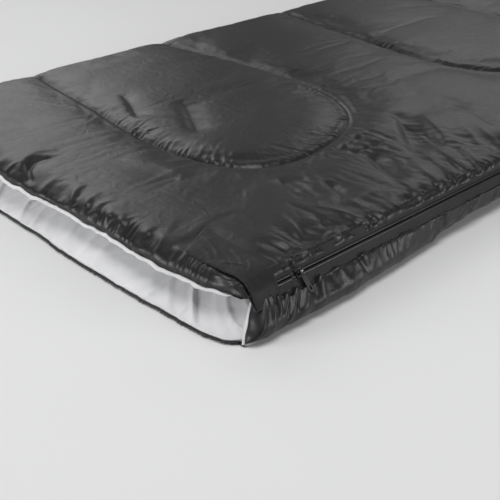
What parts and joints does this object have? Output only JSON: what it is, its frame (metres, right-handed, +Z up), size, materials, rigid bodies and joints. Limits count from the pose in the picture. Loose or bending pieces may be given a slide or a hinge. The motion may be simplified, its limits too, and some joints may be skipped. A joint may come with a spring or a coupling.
{
  "type": "rectangular sleeping bag",
  "caption": "Rectangular quilted envelope sleeping bag, lying closed: padded cover and base joined at a fold, an L-shaped coil zip and a hook-and-loop closure tab.",
  "frame": {"origin": "on the ground under the middle of the closed bag", "axes": "+X across the bag from the folded side to the zip side, +Y along it from the open head end to the foot, +Z up"},
  "size_m": [0.7781, 1.8, 0.0667],
  "materials": {
    "shell_black": "satin",
    "lining_grey": "satin",
    "filling_white": "matte",
    "binding_black": "matte",
    "zip_tape_black": "matte",
    "coil_black": "satin",
    "slider_metal": "gloss",
    "stop_metal": "satin",
    "thread_black": "matte",
    "thread_grey": "matte",
    "tab_black": "matte",
    "hook_black": "matte",
    "loop_black": "matte"
  },
  "bodies": {
    "base": {"base_outer_shell": "shell_black", "base_filling": "filling_white", "base_lining": "lining_grey", "base_head_binding": "binding_black", "side_band_shell": "shell_black", "side_band_filling": "filling_white", "side_band_lining": "lining_grey", "side_band_facing": "lining_grey", "foot_band_shell": "shell_black", "foot_band_filling": "filling_white", "foot_band_lining": "lining_grey", "base_zip_tape": "zip_tape_black", "base_zip_coil": "coil_black", "base_zip_top_stop": "stop_metal", "zip_bottom_stop": "stop_metal", "base_quilting_thread": "thread_grey"},
    "cover": {"cover_outer_shell": "shell_black", "cover_filling": "filling_white", "cover_lining": "lining_grey", "cover_head_hem": "lining_grey", "cover_zip_tape": "zip_tape_black", "cover_zip_coil": "coil_black", "cover_zip_top_stop": "stop_metal", "loop_patch": "loop_black", "cover_quilting_thread": "thread_black"},
    "slider": {"slider_body": "slider_metal", "slider_crown": "slider_metal"},
    "pull": {"pull_tab": "slider_metal"},
    "tab": {"closure_tab": "tab_black", "hook_patch": "hook_black"}
  },
  "joints": [
    {"name": "cover_open", "type": "hinge", "parent": "base", "child": "cover", "pos_m": [-0.3883, 0, 0.031], "axis": [0, -1, 0], "range_deg": [0, 180]},
    {"name": "slider_travel", "type": "slide", "parent": "base", "child": "slider", "axis": [0, 1, 0], "range_m": [0, 1.6]},
    {"name": "pull_swing", "type": "hinge", "parent": "slider", "child": "pull", "pos_m": [0.37154, -0.806, 0.04854], "axis": [0, -1, 0], "range_deg": [0, 150]},
    {"name": "tab_peel", "type": "hinge", "parent": "base", "child": "tab", "pos_m": [0.38207, -0.8485, 0.03362], "axis": [0, 1, 0], "range_deg": [0, 165]}
  ]
}
